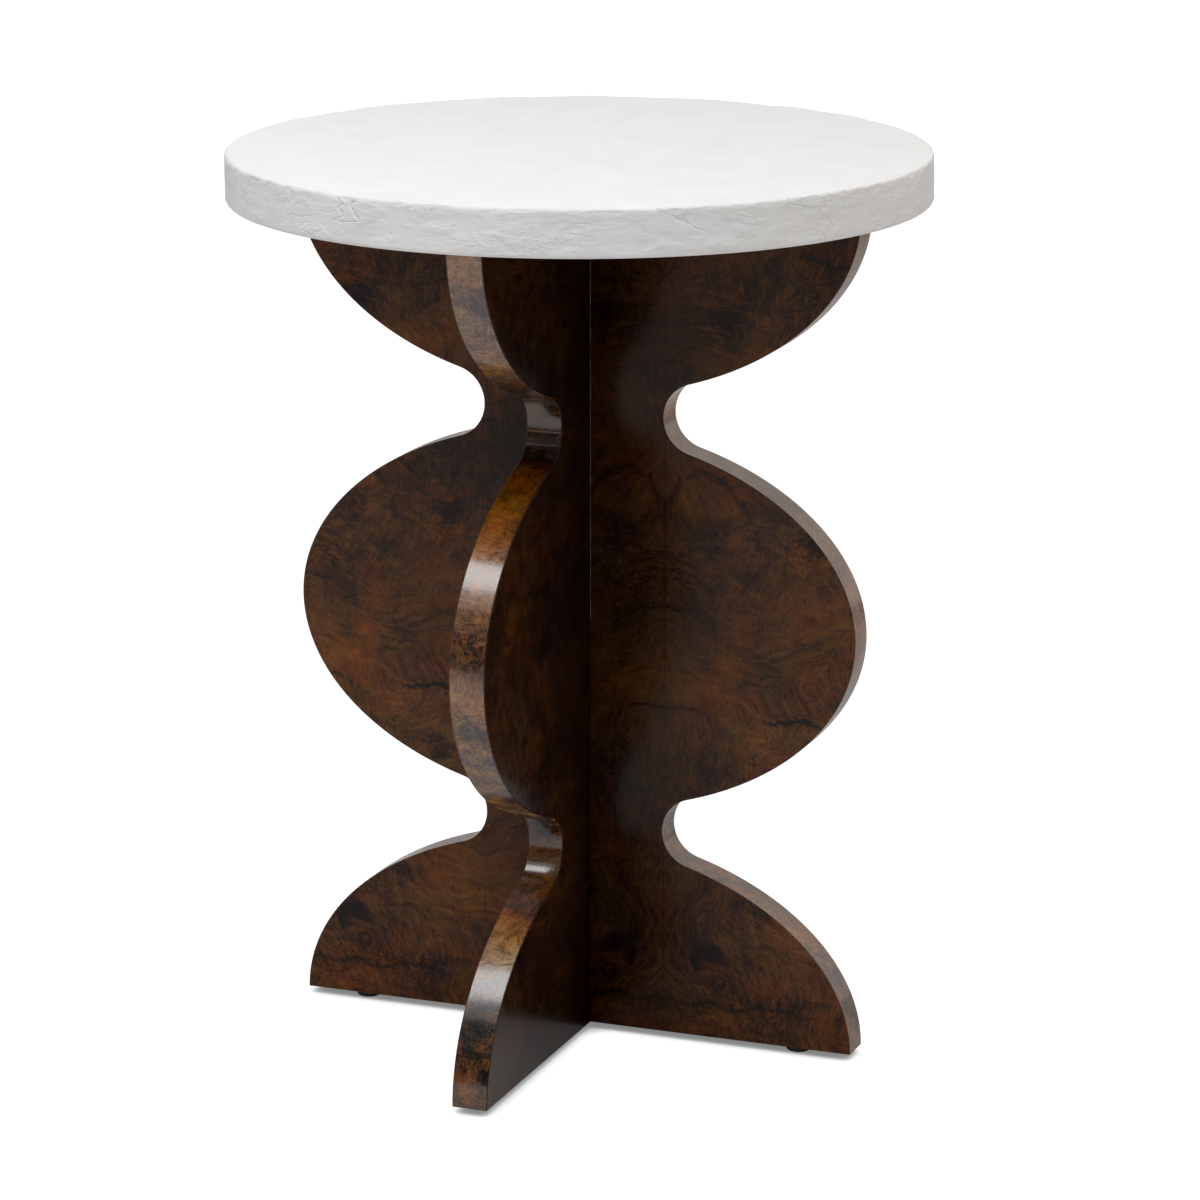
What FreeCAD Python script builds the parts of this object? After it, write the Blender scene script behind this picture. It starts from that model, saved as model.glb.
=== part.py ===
import FreeCAD, Part
import math
import os
import Sketcher
from FreeCAD import Placement, Rotation, Vector

# Side table: a round plastered top on two veneered panels that cross at right angles.
# Origin on the floor under the middle of the top, +Z up. The wide panel runs along X and
# the deep panel along Y. All lengths are in millimetres.

DRIVING_SIZES = (
    ("top_radius", 254.0, "round top, middle to finished rim"),
    ("board_thickness", 16.0, "each of the two boards laminated in the top"),
    ("plaster_over_top", 3.0, "plaster coat above the boards"),
    ("plaster_at_rim", 5.0, "plaster coat round the boards"),
    ("top_arris", 9.0, "radius of the rim's upper edge"),
    ("lower_arris", 4.0, "radius of the rim's lower edge"),
    ("panel_height", 620.0, "crossed panels, foot to top"),
    ("lobe_half_width", 216.5, "panel's middle line to the tip of a lobe"),
    ("waist_half_width", 69.4, "panel's middle line to the narrowest place"),
    ("waist_radius", 26.6, "hollow curve between two lobes"),
    ("core_thickness", 25.4, "fibreboard core of a panel"),
    ("veneer_thickness", 0.7, "burl veneer on faces and edges"),
    ("slot_play", 0.15, "air on each side of a panel in the other one's slot"),
    ("glide_radius", 9.0, "nylon glide under a foot"),
    ("glide_height", 5.0, "floor to the underside of the panels"),
    ("glide_inset", 44.0, "tip of the foot to the middle of its glide"),
    ("glide_edge", 1.5, "bevelled lower edge of a glide"),
    ("nail_radius", 1.1, "shank of a glide's nail"),
    ("nail_length", 19.0, "shank of a glide's nail with its point"),
    ("nail_head_radius", 3.2, "flat head of a glide's nail"),
    ("nail_head_height", 1.0, "flat head of a glide's nail"),
    ("nail_head_depth", 1.2, "nail's head above the floor, inside its glide"),
    ("bracket_leg", 32.0, "each leg of the steel angle bracket"),
    ("bracket_width", 50.0, "bracket along its panel"),
    ("bracket_thickness", 2.5, "steel of the bracket"),
    ("bracket_bend", 2.5, "inner radius of the bracket's bend"),
    ("bracket_corner", 6.0, "rounded free corners of the bracket"),
    ("bracket_distance", 90.0, "middle of the table to the middle of a bracket"),
    ("screw_spacing", 28.0, "the two screws in one leg of a bracket"),
    ("screw_from_bend", 20.0, "back of the bracket to its screws"),
    ("screw_radius", 1.9, "shank of a bracket screw"),
    ("screw_length", 15.0, "shank of a bracket screw with its point"),
    ("screw_head_radius", 3.9, "pan head of a bracket screw"),
    ("screw_head_height", 2.6, "pan head of a bracket screw"),
    ("point_length", 3.5, "pointed end of a screw or nail"),
    ("hole_play", 0.4, "air round a screw in the bracket's hole"),
    ("pilot_play", 0.05, "air round a screw or nail in the wood"),
    ("pilot_spare", 1.0, "pilot hole beyond the point"),
    ("overrun", 2.0, "how far a cut runs past the piece"),
)

doc = FreeCAD.newDocument("SideTable")
sheet = doc.addObject("Spreadsheet::Sheet", "Sizes")
for row, (alias, number, note) in enumerate(DRIVING_SIZES, 1):
    sheet.set(f"A{row}", note)
    sheet.set(f"B{row}", str(number))
    sheet.setAlias(f"B{row}", alias)
doc.recompute()

# Places that several pieces share, as expressions of the sheet
PANEL_FACE = "(Sizes.core_thickness / 2 + Sizes.veneer_thickness)"
CORE_FACE = "(Sizes.core_thickness / 2)"
TOP_UNDERSIDE = "(Sizes.glide_height + Sizes.panel_height)"
BOARD_RADIUS = "(Sizes.top_radius - Sizes.plaster_at_rim)"
BOTH_BOARDS = "(2 * Sizes.board_thickness)"
GLIDE_PLACE = "(Sizes.lobe_half_width - Sizes.glide_inset)"
NAIL_SEAT = "(Sizes.nail_head_depth + Sizes.nail_head_height)"
SCREW_HOLE = "(Sizes.screw_radius + Sizes.pilot_play)"
NAIL_HOLE = "(Sizes.nail_radius + Sizes.pilot_play)"
BRACKET_SCREWS = [f"(Sizes.bracket_distance + {step} * Sizes.screw_spacing / 2)" for step in (-1, 1)]

QUARTER_TURN, HALF_TURN, FULL_TURN = 90.0, 180.0, 360.0
WINGS_OF_CROSS, WINGS_OF_PANEL = 4, 2

# How a sketch counts its own origin, upright axis and the ends of a line
ORIGIN, UPRIGHT = -1, -2
START, END, CENTRE = 1, 2, 3

nodes = []


def value(expression):
    """The number that an expression of the sheet gives now."""
    return float(sheet.evalExpression(expression))


def new_body(name, turn, lift):
    """A node of the table, turned about the upright axis and lifted by an expression."""
    body = doc.addObject("PartDesign::Body", name)
    body.Label = name
    body.Placement = Placement(Vector(), Rotation(Vector(0, 0, 1), turn))
    body.setExpression("Placement.Base.z", lift)
    nodes.append(body)
    return body


def datum(body, role):
    """The body's own origin plane or axis of that role."""
    return next(item for item in body.Origin.OriginFeatures if item.Role == role)


def new_sketch(body, name, role, offset="0"):
    """A sketch parallel to one of the body's origin planes, off it by an expression."""
    sketch = body.newObject("Sketcher::SketchObject", name)
    sketch.AttachmentSupport = [(datum(body, role), "")]
    sketch.MapMode = "FlatFace"
    sketch.setExpression("AttachmentOffset.Base.z", offset)
    sketch.Visibility = False
    return sketch


def rule(sketch, *parts):
    """A constraint of shape or place."""
    sketch.addConstraint(Sketcher.Constraint(*parts))


def bind(sketch, name, expression, *parts):
    """A constraint of size, named and bound to the sheet."""
    index = sketch.addConstraint(Sketcher.Constraint(*parts, value(expression)))
    sketch.renameConstraint(index, name)
    sketch.setExpression(f"Constraints.{name}", expression)


def hold(sketch, name, geometry, point, across, along):
    """Hold one point of a sketch at two expressions, of either sign or zero."""
    for axis, zero_line, place in (("X", UPRIGHT, across), ("Y", ORIGIN, along)):
        label = f"{name}_{axis}"
        if value(place) == 0:
            rule(sketch, "PointOnObject", geometry, point, zero_line)
        elif value(place) > 0:
            bind(sketch, label, place, f"Distance{axis}", ORIGIN, START, geometry, point)
        else:
            bind(sketch, label, f"-1 * ({place})", f"Distance{axis}", geometry, point, ORIGIN, START)


def join(sketch, *pairs):
    """Make each pair of ends one point."""
    for first, second in pairs:
        rule(sketch, "Coincident", *first, *second)


def straight(sketch, start, end, construction=False):
    return sketch.addGeometry(Part.LineSegment(Vector(*start), Vector(*end)), construction)


def polygon(sketch, corners):
    """A closed outline through corners that are pairs of expressions."""
    places = [(value(across), value(along)) for across, along in corners]
    following = places[1:] + places[:1]
    sides = [straight(sketch, start, end) for start, end in zip(places, following)]
    join(sketch, *(((side, END), (after, START)) for side, after in zip(sides, sides[1:] + sides[:1])))
    for number, (side, (across, along)) in enumerate(zip(sides, corners)):
        hold(sketch, f"corner{number}", side, START, across, along)


def rings(sketch, places, radius):
    """Equal circles with their middles at pairs of expressions."""
    for number, (across, along) in enumerate(places):
        middle = Vector(value(across), value(along))
        ring = sketch.addGeometry(Part.Circle(middle, Vector(0, 0, 1), value(radius)), False)
        hold(sketch, f"ring{number}", ring, CENTRE, across, along)
        bind(sketch, f"ring{number}_radius", radius, "Radius", ring)


def pad(body, sketch, length, midplane=False):
    feature = body.newObject("PartDesign::Pad", "pad")
    feature.Profile = sketch
    feature.Midplane = midplane
    feature.setExpression("Length", length)
    return feature


def pocket(body, sketch, depth, backwards=False, midplane=False):
    """A cut of that depth, refused when it takes nothing off the body."""
    doc.recompute()
    volume_before = body.Shape.Volume
    feature = body.newObject("PartDesign::Pocket", "pocket")
    feature.Profile = sketch
    feature.Reversed = backwards
    feature.Midplane = midplane
    feature.setExpression("Length", depth)
    doc.recompute()
    if feature.Shape.Volume >= volume_before:
        raise RuntimeError(f"{body.Label}: the cut takes nothing off")
    return feature


def revolve(body, sketch, across="0"):
    """The sketch turned about an upright line at that place across it."""
    place = value(across)
    axis = straight(sketch, (place, 0), (place, value("Sizes.overrun")), construction=True)
    rule(sketch, "Vertical", axis)
    hold(sketch, "axis_foot", axis, START, across, "0")
    bind(sketch, "axis_length", "Sizes.overrun", "Distance", axis)
    feature = body.newObject("PartDesign::Revolution", "revolution")
    feature.Profile = sketch
    feature.ReferenceAxis = (sketch, ["Axis0"])
    feature.Angle = FULL_TURN
    return feature


def turn_copies(body, features, count):
    """The same features again, spaced evenly about the table's upright axis."""
    pattern = body.newObject("PartDesign::PolarPattern", "turned_copies")
    pattern.Originals = features
    pattern.Axis = (datum(body, "Z_Axis"), [""])
    pattern.Angle = FULL_TURN
    pattern.Occurrences = count
    body.Tip = pattern


def ease(body, kind, measure, amount, chosen):
    """Fillet or chamfer the edges whose middle and length the given test picks out."""
    doc.recompute()
    square = body.Tip
    names = [f"Edge{number}" for number, edge in enumerate(square.Shape.Edges, 1)
             if chosen(edge.CenterOfMass, edge.Length)]
    feature = body.newObject(f"PartDesign::{kind}", kind.lower())
    feature.Base = (square, names)
    feature.setExpression(measure, amount)
    body.Tip = feature


def fillet(body, radius, chosen):
    ease(body, "Fillet", "Radius", radius, chosen)


def chamfer(body, leg, chosen):
    ease(body, "Chamfer", "Size", leg, chosen)


# Panel outline
# Three lobes in a column, each with the same half ellipse, the foot's and the bowl's cut
# at their widest by the panel's ends, and two hollow waists that run smoothly into them.


def lobe_that_meets(tip, waist, curve, spacing):
    """Half height of the lobe, the angle where it leaves off, and the slope it has there."""
    flat, steep = 0.0, math.pi / 2
    for _ in range(60):
        normal = (flat + steep) / 2
        leave = math.acos((waist + curve - curve * math.cos(normal)) / tip)
        half_height = (spacing - curve * math.sin(normal)) / math.sin(leave)
        if tip * math.sin(leave) * math.cos(normal) > half_height * math.cos(leave) * math.sin(normal):
            flat = normal
        else:
            steep = normal
    return half_height, leave, normal


def lobed_edge(sketch, name, inset):
    """Foot, waist, oval, waist and bowl on one side, inside the veneer by the inset."""
    tip = value(f"Sizes.lobe_half_width - {inset}")
    waist = value(f"Sizes.waist_half_width - {inset}")
    curve = value(f"Sizes.waist_radius + {inset}")
    height = value("Sizes.panel_height")
    half_height, leave, normal = lobe_that_meets(tip, waist, curve, height / 4)

    def lobe(number, level, start, end):
        oval = Part.Ellipse(Vector(0, level), tip, half_height)
        arc = sketch.addGeometry(Part.ArcOfEllipse(oval, start, end), False)
        sketch.exposeInternalGeometry(arc)
        long_axis = arc + 1
        rule(sketch, "Horizontal", long_axis)
        full_width = f"2 * (Sizes.lobe_half_width - {inset})"
        bind(sketch, f"{name}_lobe{number}", full_width, "Distance", long_axis)
        hold(sketch, f"{name}_lobe{number}", arc, CENTRE, "0", f"{number} * Sizes.panel_height / 2")
        return arc

    def hollow(number, level):
        ring = Part.Circle(Vector(waist + curve, level), Vector(0, 0, 1), curve)
        arc = sketch.addGeometry(Part.ArcOfCircle(ring, math.pi - normal, math.pi + normal), False)
        bind(sketch, f"{name}_hollow{number}", f"Sizes.waist_radius + {inset}", "Radius", arc)
        place = "Sizes.waist_half_width + Sizes.waist_radius"
        bind(sketch, f"{name}_hollow{number}_place", place, "DistanceX", ORIGIN, START, arc, CENTRE)
        return arc

    foot = lobe(0, 0, 0, leave)
    low_hollow = hollow(0, height / 4)
    oval = lobe(1, height / 2, -leave, leave)
    high_hollow = hollow(1, 3 * height / 4)
    bowl = lobe(2, height, -leave, 0)
    foot_short_axis, oval_short_axis = foot + 2, oval + 2
    rule(sketch, "Equal", foot_short_axis, oval_short_axis)
    rule(sketch, "Tangent", foot, END, low_hollow, END)
    rule(sketch, "Tangent", low_hollow, START, oval, START)
    rule(sketch, "Tangent", oval, END, high_hollow, END)
    rule(sketch, "Tangent", high_hollow, START, bowl, START)
    rule(sketch, "PointOnObject", foot, START, ORIGIN)
    bind(sketch, f"{name}_top", "Sizes.panel_height", "DistanceY", ORIGIN, START, bowl, END)
    return foot, bowl


def half_panel(sketch, inset):
    """One side's lobes, closed along the top, the middle line and the foot."""
    tip, height = value(f"Sizes.lobe_half_width - {inset}"), value("Sizes.panel_height")
    foot, bowl = lobed_edge(sketch, "edge", inset)
    top = straight(sketch, (tip, height), (0, height))
    middle = straight(sketch, (0, height), (0, 0))
    base = straight(sketch, (0, 0), (tip, 0))
    join(sketch, ((bowl, END), (top, START)), ((top, END), (middle, START)))
    join(sketch, ((middle, END), (base, START)), ((base, END), (foot, START)))
    rule(sketch, "PointOnObject", middle, START, UPRIGHT)
    rule(sketch, "Horizontal", top)
    rule(sketch, "Coincident", middle, END, ORIGIN, START)


def edge_band(sketch):
    """The strip between the finished outline and the core's, closed at the foot and top."""
    tip, height = value("Sizes.lobe_half_width"), value("Sizes.panel_height")
    core_tip = value("Sizes.lobe_half_width - Sizes.veneer_thickness")
    outer_foot, outer_bowl = lobed_edge(sketch, "outer", "0 * Sizes.veneer_thickness")
    inner_foot, inner_bowl = lobed_edge(sketch, "inner", "Sizes.veneer_thickness")
    base = straight(sketch, (core_tip, 0), (tip, 0))
    top = straight(sketch, (core_tip, height), (tip, height))
    join(sketch, ((base, START), (inner_foot, START)), ((base, END), (outer_foot, START)))
    join(sketch, ((top, START), (inner_bowl, END)), ((top, END), (outer_bowl, END)))


# Crossed panels
# Each is a fibreboard core with veneered faces and edges, slotted over half its height:
# the wide panel from the top down, the deep panel from the foot up.


def both_wings(body, sketch, thickness, midplane):
    """The half outline made solid and mirrored to the panel's other wing."""
    wing = pad(body, sketch, thickness, midplane)
    mirrored = body.newObject("PartDesign::Mirrored", "mirrored")
    mirrored.Originals = [wing]
    mirrored.MirrorPlane = (datum(body, "YZ_Plane"), [""])
    body.Tip = mirrored


def cut_slot(body, from_top):
    """The slot that the other panel slides into, through the whole thickness."""
    side = f"({PANEL_FACE} + Sizes.slot_play)"
    middle = "Sizes.panel_height / 2"
    if from_top:
        low, high = f"{middle} - Sizes.slot_play", "Sizes.panel_height + Sizes.overrun"
    else:
        low, high = "-1 * Sizes.overrun", f"{middle} + Sizes.slot_play"
    slot = new_sketch(body, "slot", "XZ_Plane")
    polygon(slot, [(f"-1 * {side}", low), (side, low), (side, high), (f"-1 * {side}", high)])
    pocket(body, slot, f"2 * {PANEL_FACE} + 2 * Sizes.overrun", midplane=True)


def panel_core(name, turn, slot_from_top):
    body = new_body(name, turn, "Sizes.glide_height")
    outline = new_sketch(body, "outline", "XZ_Plane")
    half_panel(outline, "Sizes.veneer_thickness")
    both_wings(body, outline, "Sizes.core_thickness", True)
    cut_slot(body, slot_from_top)

    pilots = new_sketch(body, "screw_pilots", "XZ_Plane", CORE_FACE)
    level = "Sizes.panel_height - Sizes.screw_from_bend"
    rings(pilots, [(across, level) for across in BRACKET_SCREWS], SCREW_HOLE)
    through_steel_and_veneer = "Sizes.bracket_thickness + Sizes.veneer_thickness"
    depth = f"Sizes.screw_length + Sizes.pilot_spare - ({through_steel_and_veneer})"
    turn_copies(body, [pocket(body, pilots, depth)], WINGS_OF_PANEL)

    nail = new_sketch(body, "nail_pilot", "XY_Plane")
    rings(nail, [(GLIDE_PLACE, "0")], NAIL_HOLE)
    depth = f"Sizes.nail_length + Sizes.pilot_spare + {NAIL_SEAT} - Sizes.glide_height"
    turn_copies(body, [pocket(body, nail, depth, backwards=True)], WINGS_OF_PANEL)


def face_veneer(name, turn, slot_from_top):
    """One sheet, on the face that carries a bracket on the wing to its right."""
    body = new_body(name, turn, "Sizes.glide_height")
    outline = new_sketch(body, "outline", "XZ_Plane", CORE_FACE)
    half_panel(outline, "0 * Sizes.veneer_thickness")
    both_wings(body, outline, "Sizes.veneer_thickness", False)
    cut_slot(body, slot_from_top)
    holes = new_sketch(body, "screw_holes", "XZ_Plane", PANEL_FACE)
    level = "Sizes.panel_height - Sizes.screw_from_bend"
    rings(holes, [(across, level) for across in BRACKET_SCREWS], SCREW_HOLE)
    pocket(body, holes, "Sizes.veneer_thickness + Sizes.overrun")


def edge_veneer(name, turn):
    """One band round the three lobes at one end of a panel."""
    body = new_body(name, turn, "Sizes.glide_height")
    outline = new_sketch(body, "outline", "XZ_Plane")
    edge_band(outline)
    pad(body, outline, "Sizes.core_thickness", True)


def panel(name, turn, slot_from_top, face_names, edge_names):
    panel_core(f"{name}_core", turn, slot_from_top)
    for face_name, half in zip(face_names, (0.0, HALF_TURN)):
        face_veneer(f"{name}_{face_name}_veneer", turn + half, slot_from_top)
    for edge_name, half in zip(edge_names, (0.0, HALF_TURN)):
        edge_veneer(f"{name}_{edge_name}_edge_veneer", turn + half)


panel("wide_panel", 0.0, True, ("front", "back"), ("right", "left"))
panel("deep_panel", QUARTER_TURN, False, ("right", "left"), ("back", "front"))


# Round top
# Two boards glued face to face, under a hand-trowelled coat of plaster that wraps the rim.


def board(name, lift):
    body = new_body(name, 0.0, lift)
    disc = new_sketch(body, "disc", "XY_Plane")
    rings(disc, [("0", "0")], BOARD_RADIUS)
    pad(body, disc, "Sizes.board_thickness")
    return body


lower_board = board("top_lower_board", TOP_UNDERSIDE)
pilots = new_sketch(lower_board, "screw_pilots", "XY_Plane")
off_panel = f"-1 * ({PANEL_FACE} + Sizes.screw_from_bend)"
rings(pilots, [(across, off_panel) for across in BRACKET_SCREWS], SCREW_HOLE)
pilot_depth = "Sizes.screw_length + Sizes.pilot_spare - Sizes.bracket_thickness"
turn_copies(lower_board, [pocket(lower_board, pilots, pilot_depth, backwards=True)], WINGS_OF_CROSS)

board("top_upper_board", f"{TOP_UNDERSIDE} + Sizes.board_thickness")

coat = new_body("plaster_coat", 0.0, TOP_UNDERSIDE)
section = new_sketch(coat, "section", "XZ_Plane")
coat_height = f"({BOTH_BOARDS} + Sizes.plaster_over_top)"
polygon(section, [
    (BOARD_RADIUS, "0"),
    ("Sizes.top_radius", "0"),
    ("Sizes.top_radius", coat_height),
    ("0", coat_height),
    ("0", BOTH_BOARDS),
    (BOARD_RADIUS, BOTH_BOARDS),
])
revolve(coat, section)
longest_inner_edge = 2 * math.pi * value(f"Sizes.top_radius - Sizes.plaster_at_rim / 2")
coat_middle = value(coat_height) / 2
fillet(coat, "Sizes.top_arris",
       lambda middle, length: length > longest_inner_edge and middle.z > coat_middle)
fillet(coat, "min(Sizes.lower_arris; 0.9 * Sizes.plaster_at_rim)",
       lambda middle, length: length > longest_inner_edge and middle.z < coat_middle / 2)


# Angle brackets
# Bent steel, one on each wing of the cross, that hold the top down from below.


def bracket(name, turn):
    body = new_body(name, turn, TOP_UNDERSIDE)
    section = new_sketch(body, "section", "YZ_Plane", "Sizes.bracket_distance - Sizes.bracket_width / 2")
    back, free_end = f"-1 * {PANEL_FACE}", f"-1 * ({PANEL_FACE} + Sizes.bracket_leg)"
    inner_back = f"-1 * ({PANEL_FACE} + Sizes.bracket_thickness)"
    leg_end, inner_top = "-1 * Sizes.bracket_leg", "-1 * Sizes.bracket_thickness"
    polygon(section, [
        (back, leg_end),
        (back, "0"),
        (free_end, "0"),
        (free_end, inner_top),
        (inner_back, inner_top),
        (inner_back, leg_end),
    ])
    pad(body, section, "Sizes.bracket_width")

    hole = "Sizes.screw_radius + Sizes.hole_play"
    through = "Sizes.bracket_thickness + 2 * Sizes.overrun"
    top_holes = new_sketch(body, "top_holes", "XY_Plane", "Sizes.overrun")
    rings(top_holes, [(across, off_panel) for across in BRACKET_SCREWS], hole)
    pocket(body, top_holes, through)
    panel_holes = new_sketch(body, "panel_holes", "XZ_Plane", f"{PANEL_FACE} - Sizes.overrun")
    rings(panel_holes, [(across, "-1 * Sizes.screw_from_bend") for across in BRACKET_SCREWS], hole)
    pocket(body, panel_holes, through, backwards=True)

    steel, width = value("Sizes.bracket_thickness"), value("Sizes.bracket_width")
    leg, knee = value("Sizes.bracket_leg"), Vector(0, value(back), 0)

    def along_bend(middle, length, inside):
        target = knee - Vector(0, steel, steel) * inside
        off = math.hypot(middle.y - target.y, middle.z - target.z)
        return length > width / 2 and off < steel / 2

    def at_free_corner(middle, length):
        at_end = middle.y < knee.y - leg + steel / 2 or middle.z < steel / 2 - leg
        return length < 2 * steel and at_end

    fillet(body, "Sizes.bracket_bend", lambda middle, length: along_bend(middle, length, 1))
    outside_bend = "Sizes.bracket_bend + Sizes.bracket_thickness"
    fillet(body, outside_bend, lambda middle, length: along_bend(middle, length, 0))
    fillet(body, "Sizes.bracket_corner", at_free_corner)


for quarter, wing_name in enumerate(("right", "back", "left", "front")):
    bracket(f"bracket_{wing_name}", quarter * QUARTER_TURN)


# Screws, glides and nails
# A headed pin is drawn at one wing with its point along the sketch's upright direction,
# and copied to the other three wings.


def headed_pins(name, lift, role, offset, places, seat, head, shank):
    """Pins whose heads seat at one level; head and shank are pairs of radius and length."""
    body = new_body(name, 0.0, lift)
    head_radius, head_height = head
    shank_radius, shank_length = shank
    turned = []
    for place in places:
        section = new_sketch(body, "section", role, offset)
        polygon(section, [
            (place, f"{seat} - {head_height}"),
            (f"{place} + {head_radius}", f"{seat} - {head_height}"),
            (f"{place} + {head_radius}", seat),
            (f"{place} + {shank_radius}", seat),
            (f"{place} + {shank_radius}", f"{seat} + {shank_length} - Sizes.point_length"),
            (place, f"{seat} + {shank_length}"),
        ])
        turned.append(revolve(body, section, place))
    doc.recompute()
    turn_copies(body, turned, WINGS_OF_CROSS)


screw_head = ("Sizes.screw_head_radius", "Sizes.screw_head_height")
screw_shank = ("Sizes.screw_radius", "Sizes.screw_length")
headed_pins("screws_into_top", TOP_UNDERSIDE, "XZ_Plane", f"{PANEL_FACE} + Sizes.screw_from_bend",
            BRACKET_SCREWS, "-1 * Sizes.bracket_thickness", screw_head, screw_shank)
headed_pins("screws_into_panels", TOP_UNDERSIDE, "XY_Plane", "-1 * Sizes.screw_from_bend",
            BRACKET_SCREWS, f"-1 * ({PANEL_FACE} + Sizes.bracket_thickness)", screw_head, screw_shank)
headed_pins("glide_nails", "0", "XZ_Plane", "0", [GLIDE_PLACE], NAIL_SEAT,
            ("Sizes.nail_head_radius", "Sizes.nail_head_height"),
            ("Sizes.nail_radius", "Sizes.nail_length"))


def glide(name, turn):
    """A nylon disc, hollowed from below for the head of its nail."""
    body = new_body(name, turn, "0")
    section = new_sketch(body, "section", "XZ_Plane")
    head_room = f"{GLIDE_PLACE} + Sizes.nail_head_radius + Sizes.hole_play"
    shank_room = f"{GLIDE_PLACE} + {NAIL_HOLE}"
    outside = f"{GLIDE_PLACE} + Sizes.glide_radius"
    polygon(section, [
        (shank_room, NAIL_SEAT),
        (head_room, NAIL_SEAT),
        (head_room, "0"),
        (outside, "0"),
        (outside, "Sizes.glide_height"),
        (shank_room, "Sizes.glide_height"),
    ])
    revolve(body, section, GLIDE_PLACE)
    rim_length = math.pi * value("Sizes.glide_radius + Sizes.nail_head_radius")
    half_height = value("Sizes.glide_height") / 2
    chamfer(body, "Sizes.glide_edge",
            lambda middle, length: length > rim_length and middle.z < half_height)


for quarter, wing_name in enumerate(("right", "back", "left", "front")):
    glide(f"glide_{wing_name}", quarter * QUARTER_TURN)


# Check every object, then write one file for each piece
doc.recompute()
for item in doc.Objects:
    if any(word in state for state in item.State for word in ("Invalid", "Error")):
        raise RuntimeError(f"{item.Label} failed: {item.State}")
for body in nodes:
    if body.Shape.isNull() or not body.Shape.isValid() or not body.Shape.Solids:
        raise RuntimeError(f"{body.Label} has no sound solid")

os.makedirs("parts", exist_ok=True)
for body in nodes:
    body.Shape.exportStep(f"parts/{body.Label}.step")
    box = body.Shape.BoundBox
    print(f"{body.Label}: {len(body.Shape.Solids)} solid(s), {body.Shape.Volume:.1f} mm3,"
          f" z {box.ZMin:.2f} to {box.ZMax:.2f}")
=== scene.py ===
import math

import bmesh
import bpy
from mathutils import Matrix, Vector, noise


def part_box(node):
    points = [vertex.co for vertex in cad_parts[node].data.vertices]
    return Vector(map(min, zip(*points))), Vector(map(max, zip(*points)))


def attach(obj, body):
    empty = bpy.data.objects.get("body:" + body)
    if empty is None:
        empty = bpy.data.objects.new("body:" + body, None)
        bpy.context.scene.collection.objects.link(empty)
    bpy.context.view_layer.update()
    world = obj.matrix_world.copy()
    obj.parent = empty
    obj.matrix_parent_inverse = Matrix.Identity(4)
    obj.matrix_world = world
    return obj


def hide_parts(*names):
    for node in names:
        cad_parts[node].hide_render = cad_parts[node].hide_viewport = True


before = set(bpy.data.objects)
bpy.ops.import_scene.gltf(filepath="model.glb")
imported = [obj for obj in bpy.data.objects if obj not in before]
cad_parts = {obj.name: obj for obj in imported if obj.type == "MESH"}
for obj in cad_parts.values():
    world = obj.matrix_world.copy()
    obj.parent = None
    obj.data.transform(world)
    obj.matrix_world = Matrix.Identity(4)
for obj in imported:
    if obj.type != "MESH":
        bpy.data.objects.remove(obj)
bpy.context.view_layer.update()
bpy.ops.object.select_all(action="DESELECT")


# Panel cores
# Two lobed fibreboard panels, sawn with a slot over half their height and slid into each other
# to make the cross. The veneer leaves only their sealed feet and the walls of the slots bare.

def add(tree, kind, sockets=None, **settings):
    """A shader node with its settings, its inputs joined to other nodes or set to values."""
    made = tree.nodes.new("ShaderNode" + kind)
    for name, choice in settings.items():
        setattr(made, name, choice)
    for name, source in (sockets or {}).items():
        if isinstance(source, bpy.types.NodeSocket):
            tree.links.new(source, made.inputs[name])
        else:
            made.inputs[name].default_value = source
    return made


def maths(tree, operation, *values):
    """The result of a Math node on sockets or numbers."""
    return add(tree, "Math", dict(enumerate(values)), operation=operation).outputs[0]


def plus(tree, total, part, weight):
    """The total so far, with so much of one more part added."""
    return maths(tree, "ADD", total, maths(tree, "MULTIPLY", part, weight))


def fade(tree, value, start, end, low=0.0, high=1.0):
    """The value eased from low to high as it goes from start to end."""
    sockets = {"Value": value, "From Min": start, "From Max": end, "To Min": low, "To Max": high}
    return add(tree, "MapRange", sockets, interpolation_type="SMOOTHSTEP").outputs["Result"]


def cloud(tree, vector, scale, detail=3.0, roughness=0.5, output="Fac"):
    """Fractal noise at so many clouds to the metre."""
    sockets = {"Vector": vector, "Scale": scale, "Detail": detail, "Roughness": roughness}
    return add(tree, "TexNoise", sockets).outputs[output]


def stretched(tree, vector, x, y, z):
    """The vector scaled along each axis, so that what follows it is drawn out."""
    sockets = {0: vector, 1: (x, y, z)}
    return add(tree, "VectorMath", sockets, operation="MULTIPLY").outputs[0]


def ramp(tree, value, *stops):
    """Colours at stops along the value."""
    made = add(tree, "ValToRGB", {"Fac": value})
    band = made.color_ramp
    while len(band.elements) < len(stops):
        band.elements.new(0.5)
    for element, (place, colour) in zip(band.elements, stops):
        element.position = place
        element.color = (*colour, 1.0)
    return made.outputs["Color"]


def tinted(tree, amount, first, second, blend="MIX"):
    """The first colour blended with the second by the amount."""
    made = add(tree, "Mix", data_type="RGBA", blend_type=blend)
    for name, source in (("Factor_Float", amount), ("A_Color", first), ("B_Color", second)):
        socket = next(item for item in made.inputs if item.identifier == name)
        if isinstance(source, bpy.types.NodeSocket):
            tree.links.new(source, socket)
        else:
            socket.default_value = (*source, 1.0) if isinstance(source, tuple) else source
    return next(item for item in made.outputs if item.identifier == "Result_Color")


def new_finish(name):
    """A material, its tree and its surface shader."""
    finish = bpy.data.materials.new(name)
    finish.use_nodes = True
    return finish, finish.node_tree, finish.node_tree.nodes["Principled BSDF"]


def object_place(tree):
    return add(tree, "TexCoord").outputs["Object"]


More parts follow.
